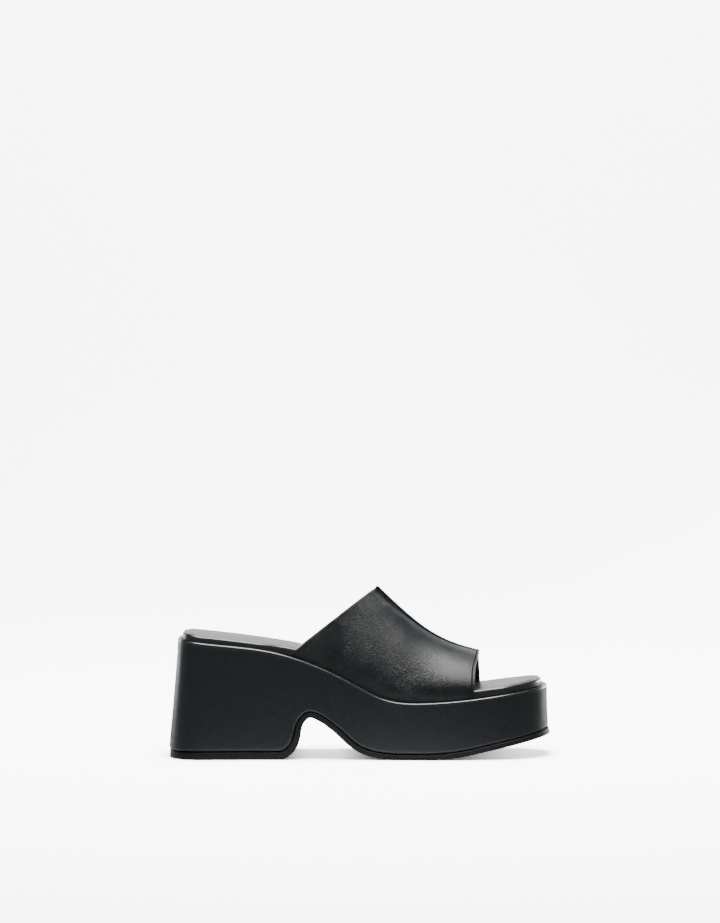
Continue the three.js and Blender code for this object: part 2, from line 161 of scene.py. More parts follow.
camera_place = (0.0, -2.9888, 0.3061)
camera_dip = 2.1005
frame_height = 923
focal_pixels = 4464.5

lens = bpy.data.cameras.new("camera")
lens.sensor_fit = "VERTICAL"
lens.sensor_height = 36
lens.sensor_width = 36
lens.lens = focal_pixels * lens.sensor_height / frame_height
lens.clip_end = 30
camera = bpy.data.objects.new("camera", lens)
camera.location = camera_place
camera.rotation_euler = (math.radians(90 - camera_dip), 0, 0)
bpy.context.scene.collection.objects.link(camera)
bpy.context.scene.camera = camera

# Studio light: a long strip softbox overhead that points at the camera, weaker boxes behind and at
# both ends, and a wash on the backdrop. The camera's side stays dim, and so does the leather there.


def add_area(name, place, target, size, power):
    """A rectangular softbox at place, facing target."""
    light = bpy.data.lights.new(name, "AREA")
    light.shape = "RECTANGLE"
    light.size, light.size_y = size
    light.energy = power
    box = bpy.data.objects.new(name, light)
    direction = np.subtract(target, place)
    yaw = math.atan2(direction[1], direction[0])
    dip = math.atan2(-direction[2], math.hypot(direction[0], direction[1]))
    box.location = place
    box.rotation_euler = (math.pi / 2 - dip, 0, yaw - math.pi / 2)
    bpy.context.scene.collection.objects.link(box)


add_area("softbox_strip", (0.0, -0.1, 1.35), (0.0, 0.0, 0.0), (0.58, 1.2), 44)
add_area("softbox_back", (0.08, 1.3, 1.15), (0.0, 0.0, 0.05), (0.5, 0.5), 3.2)
add_area("softbox_heel", (-1.15, 1.6, 0.25), (0.0, 0.0, 0.05), (0.8, 0.45), 4)
add_area("softbox_toe", (1.15, 1.6, 0.25), (0.0, 0.0, 0.05), (0.8, 0.45), 16)
add_area("backdrop_wash", (0.0, 0.7, 2.3), (0.0, 2.4, 1.6), (3.5, 0.8), 92)

# The room: a dim glow near the horizon that falls away overhead.
sky_colour = (0.84, 0.94, 1.0, 1.0)
sky_glow, sky_dark = 0.62, 0.06
sky_low, sky_high = 0.1, 0.34

world = bpy.data.worlds.new("studio")
world.use_nodes = True
world.node_tree.nodes["Background"].inputs["Color"].default_value = sky_colour
sky = world.node_tree
sky_split = sky.nodes.new("ShaderNodeSeparateXYZ")
sky.links.new(sky.nodes.new("ShaderNodeTexCoord").outputs["Generated"], sky_split.inputs["Vector"])
sky_fall = sky.nodes.new("ShaderNodeMapRange")
sky_fall.interpolation_type = "SMOOTHSTEP"
sky_limits = {"From Min": sky_low, "From Max": sky_high, "To Min": sky_glow, "To Max": sky_dark}
for label, number in sky_limits.items():
    sky_fall.inputs[label].default_value = number
sky.links.new(sky_split.outputs["Z"], sky_fall.inputs["Value"])
sky.links.new(sky_fall.outputs["Result"], sky.nodes["Background"].inputs["Strength"])
bpy.context.scene.world = world

# Outsole: one moulded rubber sheet glued under the heel, the arch and the forefoot. It is thicker
# under the heel, its lower corner is rounded and its top edge is bevelled where it meets the leather.

platform_length = 247.4 * mm
ball_width = 84 * mm
heel_height = 79.1 * mm
ball_height = 37.6 * mm
toe_height = 47.2 * mm
heel_sole = 5.6 * mm
fore_sole = 4.1 * mm
arch_height = 31.7 * mm
toe_spring = 14.6 * mm
sole_bevel = 0.8 * mm
sole_edge = 0.4 * mm
sole_set_in = 0.6 * mm
seat_gap = 0.3 * mm
heel_flare = 0.092
fore_flare = 0.06
flare_start = 12 * mm
back_of_top_edge = -121.85 * mm
middle_of_plan = 0.69 * mm

# Plan of the platform's top edge: place along, middle line and half width as shares of the ball width.
plan = np.array([
    (0.0, -0.06, 0.395),
    (0.1, -0.008, 0.418),
    (0.25, -0.004, 0.417),
    (0.37, -0.01, 0.42),
    (0.5, -0.014, 0.452),
    (0.62, -0.013, 0.487),
    (0.72, -0.008, 0.5),
    (0.82, 0.004, 0.484),
    (0.91, 0.025, 0.455),
    (1.0, 0.08, 0.42),
])

# How much of the length each end is rounded over, and how square that rounding is.
heel_rounding = (0.085, 3.0)
toe_rounding = (0.165, 2.8)

# Side view of the top edge: place along, share of the drop from heel to ball, share of the rise to
# the toe, and the footbed's stand above the edge as a share of its stand at the heel.
top_edge = np.array([
    (0.0, 1.0, 0.0, 0.96),
    (0.13, 0.912, 0.0, 1.0),
    (0.26, 0.807, 0.0, 1.06),
    (0.32, 0.708, 0.0, 1.42),
    (0.42, 0.47, 0.0, 1.5),
    (0.5, 0.221, 0.0, 1.45),
    (0.55, 0.08, 0.0, 1.38),
    (0.6, 0.012, 0.0, 1.32),
    (0.66, 0.0, 0.01, 1.28),
    (0.78, 0.0, 0.224, 1.24),
    (0.9, 0.0, 0.625, 1.16),
    (1.0, 0.0, 1.0, 0.98),
])

# Arch between heel and forefoot: place along and share of the arch's height.
arch = np.array([
    (0.277, 0.0),
    (0.292, 0.065),
    (0.303, 0.172),
    (0.313, 0.383),
    (0.319, 0.621),
    (0.329, 0.82),
    (0.356, 1.0),
    (0.38, 0.953),
    (0.412, 0.783),
    (0.445, 0.543),
    (0.477, 0.286),
    (0.509, 0.12),
    (0.546, 0.04),
    (0.596, 0.0),
])
arch_top = 0.356
roll_start = 0.662
roll_share = 0.137
sole_taper = 0.3

# Stations along the heel, the arch, the flat and the toe.
station_counts = (110, 190, 14, 130)


def spline(at, values, level_ends=False):
    """Cubic curve through the points (at, values), smooth in slope and bend, with level or free ends."""
    at, values = np.asarray(at, float), np.asarray(values, float)
    step = np.diff(at)
    rate = np.diff(values) / step
    last = len(at) - 1
    inner = np.arange(1, last)
    matrix = np.zeros((last + 1, last + 1))
    right = np.zeros(last + 1)
    matrix[0, 0] = matrix[last, last] = 1 if level_ends else 2
    if not level_ends:
        matrix[0, 1] = matrix[last, last - 1] = 1
        right[0], right[last] = 3 * rate[0], 3 * rate[-1]
    matrix[inner, inner - 1] = 1 / step[:-1]
    matrix[inner, inner + 1] = 1 / step[1:]
    matrix[inner, inner] = 2 / step[:-1] + 2 / step[1:]
    right[inner] = 3 * (rate[:-1] / step[:-1] + rate[1:] / step[1:])
    slope = np.linalg.solve(matrix, right)

    def evaluate(where):
        place = np.clip(where, at[0], at[-1])
        i = np.clip(np.searchsorted(at, place, side="right") - 1, 0, last - 1)
        t = (place - at[i]) / step[i]
        keep, take = (1 - t) ** 2, t ** 2
        return (keep * (1 + 2 * t) * values[i] + take * (3 - 2 * t) * values[i + 1]
                + step[i] * (keep * t * slope[i] - take * (1 - t) * slope[i + 1]))

    return evaluate


def smooth(value, low, high):
    """Rises smoothly from 0 at low to 1 at high."""
    t = np.clip((value - low) / (high - low), 0, 1)
    return t * t * (3 - 2 * t)


def blend(start, end, share):
    return start + (end - start) * share


middle_share = spline(plan[:, 0], plan[:, 1])
half_share = spline(plan[:, 0], plan[:, 2])
heel_share = spline(top_edge[:, 0], top_edge[:, 1])
toe_share = spline(top_edge[:, 0], top_edge[:, 2])
stand_share = spline(top_edge[:, 0], top_edge[:, 3])


def lip_top(along):
    """Height of the lip: the ball's height plus shares of the drop from the heel and the rise to the toe."""
    return (ball_height + (heel_height - ball_height) * heel_share(along)
            + (toe_height - ball_height) * toe_share(along))


def end_round(distance, rounding):
    """A quarter of a superellipse that fades into the full width."""
    share, power = rounding
    t = np.clip(distance / share, 0, 1)
    return (1 - (1 - t) ** power) ** (1 / power)


def turn_at(along):
    return np.arccos(1 - 2 * np.clip(along, 0, 1))


def outline_point(turn):
    """Plan of the top edge: 0 at the heel, along the outer side to half a turn at the toe, and back."""
    along = (1 - np.cos(turn)) / 2
    half = half_share(along) * end_round(along, heel_rounding) * end_round(1 - along, toe_rounding)
    side = np.where(np.sin(turn) < 0, 1, -1)
    x = back_of_top_edge + platform_length * along
    y = middle_of_plan + ball_width * (middle_share(along) + side * half)
    return np.stack([x, y], -1)


def outline(turn, outwards):
    """The plan's point moved outwards, square to the outline."""
    step = 0.002
    tangent = outline_point(turn + step) - outline_point(turn - step)
    tangent /= np.linalg.norm(tangent, axis=-1, keepdims=True)
    normal = np.stack([tangent[..., 1], -tangent[..., 0]], -1)
    return outline_point(turn) + normal * np.asarray(outwards)[..., None]


def flare(along, height):
    """How far the platform's side stands out: slope * d * d / (d + start), d below the lip."""
    down = np.maximum(lip_top(along) - height, 0)
    slope = blend(heel_flare, fore_flare, smooth(along, 0.1, 0.6))
    return slope * down ** 2 / (down + flare_start)


def underside_stations():
    """Places, heights and outward directions (x, z) of the platform's underside, from heel to toe."""
    heel_count, arch_count, flat_count, toe_count = station_counts
    heel_turn = np.linspace(0, turn_at(arch[0, 0]), heel_count, endpoint=False)
    heel_along = (1 - np.cos(heel_turn)) / 2

    places = platform_length * arch[:, 0]
    base = np.where(arch[:, 0] < arch_top, heel_sole, fore_sole)
    heights = base + (arch_height - base) * arch[:, 1]
    lengths = np.concatenate([[0], np.cumsum(np.hypot(np.diff(places), np.diff(heights)))])
    run = np.linspace(0, lengths[-1], arch_count)
    place, height = spline(lengths, places), spline(lengths, heights, True)
    step = lengths[-1] * 0.002
    ahead, behind = np.minimum(run + step, lengths[-1]), np.maximum(run - step, 0)
    tangent = np.stack([place(ahead) - place(behind), height(ahead) - height(behind)], -1)
    tangent /= np.linalg.norm(tangent, axis=-1, keepdims=True)
    tangent[[0, -1]] = (1, 0)

    flat_along = np.linspace(arch[-1, 0], roll_start, flat_count)[1:-1]

    toe_turn = np.linspace(turn_at(roll_start), math.pi, toe_count)
    toe_along = (1 - np.cos(toe_turn)) / 2
    past = toe_along - roll_start
    rolled = np.minimum(past, roll_share)
    ramp = toe_spring / (1 - roll_start - roll_share / 2)
    lift = ramp * (rolled ** 2 / (2 * roll_share) + past - rolled)
    slope = ramp * rolled / roll_share / platform_length
    toe_out = np.stack([slope, -np.ones(toe_count)], -1)
    toe_out /= np.linalg.norm(toe_out, axis=-1, keepdims=True)

    along = np.concatenate([heel_along, place(run) / platform_length, flat_along, toe_along])
    level = np.array([(0.0, -1.0)])
    height = np.concatenate([
        np.full(heel_count, heel_sole), height(run), np.full(len(flat_along), fore_sole), fore_sole + lift])
    out = np.concatenate([
        np.repeat(level, heel_count, 0), np.stack([tangent[:, 1], -tangent[:, 0]], -1),
        np.repeat(level, len(flat_along), 0), toe_out])
    return along, height, out


def closed_shell(name, outer, inner, across, crown, materials, lip=None):
    """A closed piece from two sides of rows (row, station, 3), listed from below to above.

    At each station a loop runs up the outer side, straight across, down the inner side and back.
    crown(share, station) lifts the part across the top, share 0 at the outer side and 1 at the inner.
    lip holds 1 for the rows of a rolled lip and 0 for the others, for the material."""
    share = np.linspace(0, 1, across + 2)[1:-1, None, None]
    over = blend(outer[-1][None], inner[-1][None], share)
    over[..., 2] += crown(share[..., 0], np.arange(over.shape[1]))
    under = blend(inner[0][None], outer[0][None], share)
    loop = np.concatenate([outer, over, inner[::-1], under])
    loop = np.concatenate([loop, loop[:1]])
    rows, stations = loop.shape[:2]
    piece = new_object(name, loop.reshape(-1, 3), grid_faces(rows, stations), materials)
    if lip is not None:
        on_lip = np.concatenate([lip, np.zeros(across), lip[::-1], np.zeros(across + 1)])
        layer = piece.data.attributes.new("lip", "FLOAT", "POINT")
        layer.data.foreach_set("value", np.repeat(on_lip, stations).astype(np.float32))
    close_and_turn_out(piece)
    return piece


def close_and_turn_out(piece):
    """Merges doubled points, drops faces without area and turns all faces outwards."""
    shell = bmesh.new()
    shell.from_mesh(piece.data)
    bmesh.ops.remove_doubles(shell, verts=shell.verts, dist=0.002 * mm)
    bmesh.ops.dissolve_degenerate(shell, edges=shell.edges, dist=0.001 * mm)
    bmesh.ops.recalc_face_normals(shell, faces=shell.faces)
    shell.to_mesh(piece.data)
    shell.free()
    piece.data.update()


def no_crown(share, station):
    return 0 * share * station


along, underside, out = underside_stations()
outer_turn, inner_turn = turn_at(along), -turn_at(along)

arch_start = station_counts[0]
station = np.arange(len(along))
taper = smooth((station - arch_start) / (station_counts[1] * sole_taper), 0, 1)
sole_thickness = blend(heel_sole, fore_sole, taper)


def sole_rows(turn):
    """Rows of the outsole's edge: the rounded lower corner, the upright edge and the bevel."""
    rows = []
    set_in = sole_set_in * (1 - along)
    places = [
        (sole_thickness - sole_edge * (1 - math.sin(a)), sole_edge * (1 - math.cos(a)))
        for a in np.linspace(math.pi / 2, 0, 7)]
    edge_foot, edge_top = sole_thickness - sole_edge, seat_gap + sole_bevel
    places += [(blend(edge_foot, edge_top, s), 0) for s in (0.25, 0.5, 0.75, 1.0)]
    places += [(seat_gap + sole_bevel * (1 - s), sole_bevel * s) for s in (0.2, 0.5, 0.8, 1.0)]
    for depth, inwards in places:
        depth = depth * np.ones(len(along))
        point = outline(turn, flare(along, underside) - set_in - inwards)
        along_x, height = point[:, 0] + out[:, 0] * depth, underside + out[:, 1] * depth
        rows.append(np.stack([along_x, point[:, 1], height], -1))
    return np.array(rows)


def new_group(name, inputs, outputs):
    """A shader node group with named float inputs (name, value) and outputs, and its two end nodes."""
    group = bpy.data.node_groups.new(name, "ShaderNodeTree")
    for label, value in inputs:
        socket = group.interface.new_socket(name=label, in_out="INPUT", socket_type="NodeSocketFloat")
        socket.default_value = value
    for label in outputs:
        group.interface.new_socket(name=label, in_out="OUTPUT", socket_type="NodeSocketFloat")
    return group, group.nodes.new("NodeGroupInput"), group.nodes.new("NodeGroupOutput")


def add_math(tree, operation, first, second):
    """A Math node on two sockets or numbers; returns its result."""
    node = tree.nodes.new("ShaderNodeMath")
    node.operation = operation
    for socket, value in zip(node.inputs, (first, second)):
        if isinstance(value, (int, float)):
            socket.default_value = value
        else:
            tree.links.new(value, socket)
    return node.outputs["Value"]


def add_noise(tree, place, scale, detail=2.0, roughness=0.5):
    """Noise at a place; scale is in cycles a metre, a socket or a number."""
    node = tree.nodes.new("ShaderNodeTexNoise")
    node.inputs["Detail"].default_value = detail
    node.inputs["Roughness"].default_value = roughness
    if isinstance(scale, (int, float)):
        node.inputs["Scale"].default_value = scale
    else:
        tree.links.new(scale, node.inputs["Scale"])
    tree.links.new(place, node.inputs["Vector"])
    return node.outputs["Fac"]


def rescale(tree, value, low, high, new_low, new_high):
    """A value carried from low..high to new_low..new_high, held at both ends."""
    node = tree.nodes.new("ShaderNodeMapRange")
    node.clamp = True
    tree.links.new(value, node.inputs["Value"])
    limits = {"From Min": low, "From Max": high, "To Min": new_low, "To Max": new_high}
    for label, number in limits.items():
        node.inputs[label].default_value = number
    return node.outputs["Result"]


def finish_piece(material, shader, group, values, roughness, distance):
    """Places a surface group in a material: its Height goes to a bump and its Gloss to the roughness."""
    tree = material.node_tree
    surface = tree.nodes.new("ShaderNodeGroup")
    surface.node_tree = group
    for label, value in values.items():
        surface.inputs[label].default_value = value
    bump = tree.nodes.new("ShaderNodeBump")
    bump.inputs["Distance"].default_value = distance
    tree.links.new(surface.outputs["Height"], bump.inputs["Height"])
    tree.links.new(bump.outputs["Normal"], shader.inputs["Normal"])
    dull = rescale(tree, surface.outputs["Gloss"], 0, 1, *roughness)
    tree.links.new(dull, shader.inputs["Roughness"])
    return surface


# Moulded rubber: a fine sandy skin, with faint slanting ribs round the sole's edge.
rib_lean = 1.3
moulded, moulded_in, moulded_out = new_group(
    "moulded_rubber", [("Rib Pitch", 470.0), ("Rib Depth", 0.5)], ["Height", "Gloss"])
place = moulded.nodes.new("ShaderNodeTexCoord").outputs["Object"]
sand = add_noise(moulded, place, 2600.0, 2.0, 0.6)
split = moulded.nodes.new("ShaderNodeSeparateXYZ")
moulded.links.new(place, split.inputs["Vector"])
leaning = add_math(moulded, "MULTIPLY", split.outputs["Z"], rib_lean)
slant = add_math(moulded, "SUBTRACT", split.outputs["X"], leaning)
ribs_along = add_math(moulded, "MULTIPLY", slant, moulded_in.outputs["Rib Pitch"])
phase = add_math(moulded, "MULTIPLY", ribs_along, 2 * math.pi)
ribs = add_math(moulded, "MULTIPLY", add_math(moulded, "SINE", phase, 0.0), moulded_in.outputs["Rib Depth"])
skin = add_math(moulded, "ADD", add_math(moulded, "MULTIPLY", sand, 0.5), ribs)
moulded.links.new(skin, moulded_out.inputs["Height"])
moulded.links.new(add_noise(moulded, place, 60.0, 3.0, 0.6), moulded_out.inputs["Gloss"])

rubber, rubber_shader = new_material("outsole_rubber", (0.0095, 0.0095, 0.01, 1.0), 0.6)
finish_piece(rubber, rubber_shader, moulded, {"Rib Pitch": 470.0, "Rib Depth": 0.4}, (0.5, 0.66), 0.05 * mm)
rubber_shader.inputs["Specular IOR Level"].default_value = 0.24
outsole = closed_shell("outsole_rubber", sole_rows(outer_turn), sole_rows(inner_turn), 24, no_crown, [rubber])
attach(outsole, "root")
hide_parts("outsole")

# Platform: a light foam block of heel and sole in one, covered with smooth black leather that is
# folded under at the bottom and turned over a cord at the top, which makes the rolled lip.

lower_radius = 1.6 * mm
lip_radius = 1.3 * mm
lip_depth = 2.4 * mm
lip_steps = 17


def block_rows(turn):
    """Rows of the block's side: the rounded lower corner, the flared wall, the lip and the channel."""
    rows = []
    for angle in np.linspace(0, math.pi / 2, 8):
        up = lower_radius * (1 - math.cos(angle))
        height = underside - out[:, 1] * up
        point = outline(turn, flare(along, height) - lower_radius * (1 - math.sin(angle)))
        rows.append(np.stack([point[:, 0] - out[:, 0] * up, point[:, 1], height], -1))
    foot = underside - out[:, 1] * lower_radius
    lip_foot = lip_top(along) - lip_radius
    for share in np.linspace(0, 1, 30)[1:-1]:
        height = blend(foot, lip_foot, share)
        point = outline(turn, flare(along, height))
        along_x = point[:, 0] - out[:, 0] * lower_radius * (1 - share)
        rows.append(np.stack([along_x, point[:, 1], height], -1))
    for angle in np.linspace(0, math.pi, lip_steps):
        point = outline(turn, np.full(len(along), -lip_radius * (1 - math.cos(angle))))
        rows.append(np.stack([point[:, 0], point[:, 1], lip_foot + lip_radius * math.sin(angle)], -1))
    point = outline(turn, np.full(len(along), -2 * lip_radius))
    rows.append(np.stack([point[:, 0], point[:, 1], lip_top(along) - lip_depth], -1))
    return np.array(rows)


# Leather: rounded pebbles a millimetre or so across with finer ones in them, deeper in some places
# than in others, and pores. Gloss drifts slowly over the hide.

pebble_mean = 0.62
shake_reach = 0.9 * mm
leather, leather_in, leather_out = new_group(
    "leather_grain",
    [("Pebbles", 850.0), ("Pebble Depth", 1.0), ("Pores", 5200.0), ("Pore Depth", 0.15), ("Drift", 26.0)],
    ["Height", "Gloss"])
place = leather.nodes.new("ShaderNodeTexCoord").outputs["Object"]
shake = leather.nodes.new("ShaderNodeTexNoise")
shake.inputs["Scale"].default_value = 420.0
shake.inputs["Detail"].default_value = 2.0
leather.links.new(place, shake.inputs["Vector"])
shaken = leather.nodes.new("ShaderNodeVectorMath")
shaken.operation = "MULTIPLY_ADD"
leather.links.new(shake.outputs["Color"], shaken.inputs[0])
shaken.inputs[1].default_value = (shake_reach, shake_reach, shake_reach)
leather.links.new(place, shaken.inputs[2])


def add_pebbles(scale):
    """Cells with rounded tops: the distance to each cell's edge, levelled off inside."""
    cells = leather.nodes.new("ShaderNodeTexVoronoi")
    cells.feature = "DISTANCE_TO_EDGE"
    leather.links.new(shaken.outputs["Vector"], cells.inputs["Vector"])
    leather.links.new(scale, cells.inputs["Scale"])
    rounded = rescale(leather, cells.outputs["Distance"], 0.0, 0.3, 0.0, 1.0)
    return add_math(leather, "POWER", rounded, 0.6)


coarse = add_pebbles(leather_in.outputs["Pebbles"])
fine = add_pebbles(add_math(leather, "MULTIPLY", leather_in.outputs["Pebbles"], 2.1))
pebbles = add_math(
    leather, "ADD", add_math(leather, "MULTIPLY", coarse, 0.65), add_math(leather, "MULTIPLY", fine, 0.35))
patches = rescale(leather, add_noise(leather, place, 48.0, 2.0, 0.55), 0.2, 0.8, 0.2, 1.15)
swell = add_math(leather, "MULTIPLY", add_math(leather, "SUBTRACT", pebbles, pebble_mean), patches)
depth = add_math(leather, "MULTIPLY", swell, leather_in.outputs["Pebble Depth"])
pores = add_math(
    leather, "MULTIPLY",
    add_noise(leather, place, leather_in.outputs["Pores"], 1.0), leather_in.outputs["Pore Depth"])
leather.links.new(add_math(leather, "ADD", depth, pores), leather_out.inputs["Height"])
drift = add_noise(leather, place, leather_in.outputs["Drift"], 3.0, 0.55)
leather.links.new(drift, leather_out.inputs["Gloss"])

block_leather, block_shader = new_material("platform_leather", (0.0056, 0.0078, 0.0088, 1.0), 0.32)
finish_piece(
    block_leather, block_shader, leather, {"Pebbles": 720.0, "Pebble Depth": 0.8}, (0.27, 0.34), 0.1 * mm)
block_shader.inputs["Coat Roughness"].default_value = 0.22

# The leather shines more where it is stretched over the lip's cord.
side_coat, lip_coat = 0.15, 0.8
block_tree = block_leather.node_tree
on_lip = block_tree.nodes.new("ShaderNodeAttribute")
on_lip.attribute_name = "lip"
block_coat = rescale(block_tree, on_lip.outputs["Fac"], 0, 1, side_coat, lip_coat)
block_tree.links.new(block_coat, block_shader.inputs["Coat Weight"])
block_sides = block_rows(outer_turn), block_rows(inner_turn)
first_on_lip = len(block_sides[0]) - lip_steps - 1
lip_rows = (np.arange(len(block_sides[0])) >= first_on_lip).astype(float)
platform = closed_shell(
    "platform_cover", *block_sides, 16, no_crown, [block_leather], lip_rows)
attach(platform, "root")
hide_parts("platform")

# Footbed: an insole board with a thin pad, covered with black leather that is drawn round its edge.
# A pressed line follows the edge all round.

footbed_stand = 4.3 * mm
footbed_radius = 2.0 * mm
footbed_crown = 0.8 * mm
footbed_inset = 3.1 * mm
footbed_toe_inset = 3.9 * mm
footbed_room = 1.3 * mm
upper_wall = 1.8 * mm
outer_collar, inner_toe = 0.292, 0.825
edge_line_inset = 4.3 * mm
edge_line_depth = 0.45 * mm
edge_line_half = 0.6 * mm
edge_line_past = 1.2 * mm
pad_heel, pad_toe = 0.15, 0.82

bed_along = (1 - np.cos(np.linspace(0, math.pi, 420))) / 2


def footbed_back(place):
    """Set back from the top edge, further where the upper passes between lip and footbed."""
    under = (smooth(place, outer_collar - 0.07, outer_collar - 0.01)
             * (1 - smooth(place, inner_toe + 0.01, inner_toe + 0.07)))
    free = blend(footbed_inset, footbed_toe_inset, place)
    return blend(free, 2 * lip_radius + seat_gap + upper_wall + footbed_room, under)


def footbed_rows(turn):
    """Rows of the footbed: its side, its rounded edge, and the top in to past the pressed line."""
    top = lip_top(bed_along) + footbed_stand * stand_share(bed_along)
    bottom = lip_top(bed_along) - lip_depth + seat_gap
    back = footbed_back(bed_along)
    edge = np.zeros(len(bed_along))
    rows = [(edge, bottom), (edge, blend(bottom, top - footbed_radius, 0.5))]
    for angle in np.linspace(0, math.pi / 2, 12):
        inwards = footbed_radius * (1 - math.cos(angle))
        rows.append((edge + inwards, top - footbed_radius * (1 - math.sin(angle))))
    for inwards in np.linspace(footbed_radius, edge_line_inset + edge_line_past, 22)[1:]:
        dent = edge_line_depth * np.exp(-((inwards - edge_line_inset) / edge_line_half) ** 2)
        rows.append((edge + inwards, top - dent))
    points = []
    for inwards, height in rows:
        point = outline(turn, -back - inwards)
        points.append(np.stack([point[:, 0], point[:, 1], height], -1))
    return np.array(points)


def bed_crown(share, station):
    """A pad that is highest along its middle and level at the heel's and the toe's end."""
    place = bed_along[station]
    ends = smooth(place, 0, pad_heel) * (1 - smooth(place, pad_toe, 1))
    return footbed_crown * np.sin(math.pi * share) * ends


bed_leather, bed_shader = new_material("footbed_leather", (0.0125, 0.0118, 0.0112, 1.0), 0.42)
finish_piece(
    bed_leather, bed_shader, leather, {"Pebbles": 900.0, "Pebble Depth": 0.6}, (0.29, 0.38), 0.06 * mm)
bed_shader.inputs["Coat Weight"].default_value = 0.5
bed_shader.inputs["Coat Roughness"].default_value = 0.3
bed_turn = turn_at(bed_along)
footbed = closed_shell(
    "footbed_cover", footbed_rows(bed_turn), footbed_rows(-bed_turn), 40, bed_crown, [bed_leather])
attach(footbed, "root")
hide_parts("footbed")

# Upper: two halves of black leather over a thin lining, joined by a raised seam along the crest. Its
# feet go down between the lip and the footbed, and its toe edge is folded and stitched.

collar_height = 111.3 * mm
vamp_front_height = 69 * mm
outer_bow = 2.0 * mm
inner_bow = -0.3 * mm
bow_lean = 1.7
toe_sway = 1.1 * mm
foot_bulge = 1.2 * mm
bulge_height = 11 * mm
bulge_power = 3
seam_height = 2.7 * mm
seam_front_height = 0.7 * mm
seam_half_width = 1.3 * mm
seam_foot = 0.5 * mm
seam_round = 0.15 * mm
seam_fade = 1.6
vamp_roundness = 2.2
crest_offset = 0.035
outer_foot = (0.292, 0.786)
inner_foot = (0.305, 0.825)
crest_ends = (0.532, 0.816)
crest_line = np.array([
    (0.0, 1.0),
    (0.236, 0.655),
    (0.477, 0.347),
    (0.716, 0.141),
    (1.0, 0.0),
])
crest_fall = spline(crest_line[:, 0], crest_line[:, 1])
leather_wall = 1.1 * mm
edge_radius = 0.55 * mm


def vamp_point(run, girth):
    """Outer face of the upper. run goes from the collar to the toe edge, and girth from the outer
    foot at -1 over the crest at 0 to the inner foot at 1. The section is a superellipse quarter on
    each side, from the foot in the channel up to the crest line. The collar is bowed, the toe edge
    sways on the outer side, and the leather bulges by (h exp(1 - h)) cubed at h bulge heights up."""
    run, girth = np.broadcast_arrays(run, girth)
    inner = girth >= 0
    foot_along = np.where(inner, blend(*inner_foot, run), blend(*outer_foot, run))
    foot_turn = np.where(inner, -1, 1) * turn_at(foot_along)
    foot = outline(foot_turn, np.full(run.shape, -2 * lip_radius - seat_gap))
    foot_height = lip_top(foot_along) - lip_depth + seat_gap
    crest_along = blend(*crest_ends, run)
    crest_x = back_of_top_edge + platform_length * crest_along
    crest_y = middle_of_plan + ball_width * (middle_share(crest_along) + crest_offset)
    crest_z = blend(vamp_front_height, collar_height, crest_fall(run))
    angle = (1 - np.abs(girth)) * math.pi / 2
    outwards = np.cos(angle) ** (2 / vamp_roundness)
    up = np.sin(angle) ** (2 / vamp_roundness)
    bow = (1 - run) * np.where(
        inner, inner_bow * np.sin(math.pi * up), outer_bow * np.sin(math.pi * up ** bow_lean))
    sway = np.where(inner, 0, toe_sway) * run ** 2 * np.sin(2 * math.pi * up)
    climbed = up * (crest_z - foot_height) / bulge_height
    bulge = foot_bulge * (climbed * np.exp(1 - climbed)) ** bulge_power * outwards
    return np.stack([
        blend(foot[..., 0], crest_x, up) + sway,
        blend(crest_y, foot[..., 1], outwards) + np.where(inner, bulge, -bulge),
        blend(foot_height, crest_z, up) + bow,
    ], -1)


def unit(vectors):
    return vectors / np.linalg.norm(vectors, axis=-1, keepdims=True)


def vamp_axes(run, girth):
    """Unit directions along the run, and outwards, at each point of the upper's outer face."""
    step = 0.004
    run_ahead, run_behind = np.minimum(run + step, 1), np.maximum(run - step, 0)
    girth_ahead, girth_behind = np.minimum(girth + step, 1), np.maximum(girth - step, -1)
    forwards = vamp_point(run_ahead, girth) - vamp_point(run_behind, girth)
    round_it = vamp_point(run, girth_ahead) - vamp_point(run, girth_behind)
    return unit(forwards), unit(np.cross(forwards, round_it))


def beside_crest(girth):
    """Distance from the crest in plan: half the ball's width by the section's outward share."""
    return ball_width / 2 * np.cos((1 - np.abs(girth)) * math.pi / 2) ** (2 / vamp_roundness)


def girth_beside(distance):
    """The girth that lies a distance from the crest, the inverse of beside_crest."""
    return 1 - 2 * np.arccos((distance / (ball_width / 2)) ** (vamp_roundness / 2)) / math.pi


def seam_rise(run, girth):
    """Height of the raised seam: full along the crest, falling away over its foot."""
    height = blend(seam_front_height, seam_height, np.clip(1 - run, 0, 1) ** seam_fade)
    side = smooth(beside_crest(girth), seam_half_width - seam_round, seam_half_width + seam_foot)
    return height * (1 - side)


fold_rise = 0.35 * mm
fold_width = 1.6 * mm
stitch_line = 1.95 * mm
stitch_dent = 0.18 * mm

# Soft creases of the leather: run and girth at one end and at the other, depth and half width.
creases = [
    (0.40, -0.97, 0.58, -0.72, 0.07 * mm, 2.8 * mm),
    (0.08, -0.60, 0.34, -0.50, 0.06 * mm, 3.6 * mm),
    (0.32, -0.40, 0.56, -0.34, 0.05 * mm, 3.6 * mm),
    (0.44, 0.97, 0.62, 0.70, 0.07 * mm, 2.8 * mm),
    (0.14, 0.58, 0.38, 0.48, 0.06 * mm, 3.6 * mm),
]
run_length, girth_length = 88 * mm, 58 * mm


def toe_fold(distance):
    """The folded band along the toe edge, and the dent its stitches draw beside it."""
    band = fold_rise * (1 - smooth(distance, fold_width - 0.3 * mm, fold_width + 0.2 * mm))
    return band - stitch_dent * np.exp(-((distance - stitch_line) / (0.35 * mm)) ** 2)


